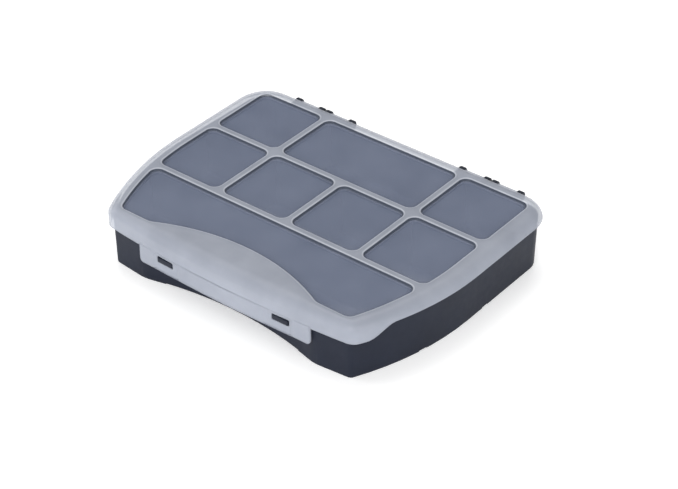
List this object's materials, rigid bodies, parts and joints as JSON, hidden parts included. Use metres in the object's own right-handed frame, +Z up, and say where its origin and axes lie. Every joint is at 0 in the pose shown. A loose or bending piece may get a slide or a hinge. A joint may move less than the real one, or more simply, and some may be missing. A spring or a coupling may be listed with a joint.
{
  "type": "parts organizer",
  "caption": "Flat parts organizer: black tray with fixed compartments and a translucent ribbed lid, hinged at the rear and held by a flexible front flap with latch windows.",
  "frame": {"origin": "middle of the underside: the centre of the whole object's plan, hinge ears included, on the surface it rests on", "axes": "+X to the right along the width, +Y from the latch side to the hinge side, +Z up"},
  "size_m": [0.25, 0.196, 0.043],
  "materials": {
    "black_plastic": "satin",
    "frosted_plastic": "satin",
    "clear_plastic": "satin"
  },
  "bodies": {
    "tray": {"tray_floor": "black_plastic", "tray_wall_front": "black_plastic", "tray_wall_rear": "black_plastic", "tray_wall_left": "black_plastic", "tray_wall_right": "black_plastic", "rear_long_divider": "black_plastic", "front_long_divider": "black_plastic", "rear_divider_left": "black_plastic", "rear_divider_right": "black_plastic", "middle_divider_left": "black_plastic", "middle_divider_centre": "black_plastic", "middle_divider_right": "black_plastic", "foot_rail_front": "black_plastic", "foot_rail_rear": "black_plastic", "foot_rail_left": "black_plastic", "foot_rail_right": "black_plastic", "latch_tab_left": "black_plastic", "latch_tab_right": "black_plastic", "hinge_ear_1": "black_plastic", "hinge_ear_2": "black_plastic", "hinge_ear_3": "black_plastic", "hinge_ear_4": "black_plastic", "hinge_ear_5": "black_plastic", "hinge_ear_6": "black_plastic", "hinge_ear_7": "black_plastic", "hinge_ear_8": "black_plastic"},
    "lid": {"lid_rim": "frosted_plastic", "rear_long_ridge": "frosted_plastic", "front_long_ridge": "frosted_plastic", "rear_ridge_left": "frosted_plastic", "rear_ridge_right": "frosted_plastic", "middle_ridge_left": "frosted_plastic", "middle_ridge_centre": "frosted_plastic", "middle_ridge_right": "frosted_plastic", "panel_rear_left": "clear_plastic", "panel_rear_centre": "clear_plastic", "panel_rear_right": "clear_plastic", "panel_middle_1": "clear_plastic", "panel_middle_2": "clear_plastic", "panel_middle_3": "clear_plastic", "panel_middle_4": "clear_plastic", "panel_front": "clear_plastic", "hinge_arm_1": "frosted_plastic", "hinge_arm_2": "frosted_plastic", "hinge_arm_3": "frosted_plastic", "hinge_arm_4": "frosted_plastic"},
    "latch_flap": {"latch_flap": "frosted_plastic"}
  },
  "joints": [
    {"name": "lid_hinge", "type": "hinge", "parent": "tray", "child": "lid", "pos_m": [0, 0.0942, 0.0334], "axis": [-1, 0, 0], "range_deg": [0, 180]},
    {"name": "flap_flex", "type": "hinge", "parent": "lid", "child": "latch_flap", "pos_m": [0, -0.097, 0.03], "axis": [-1, 0, 0], "range_deg": [0, 12], "stiffness_Nm_per_rad": 0.02}
  ]
}
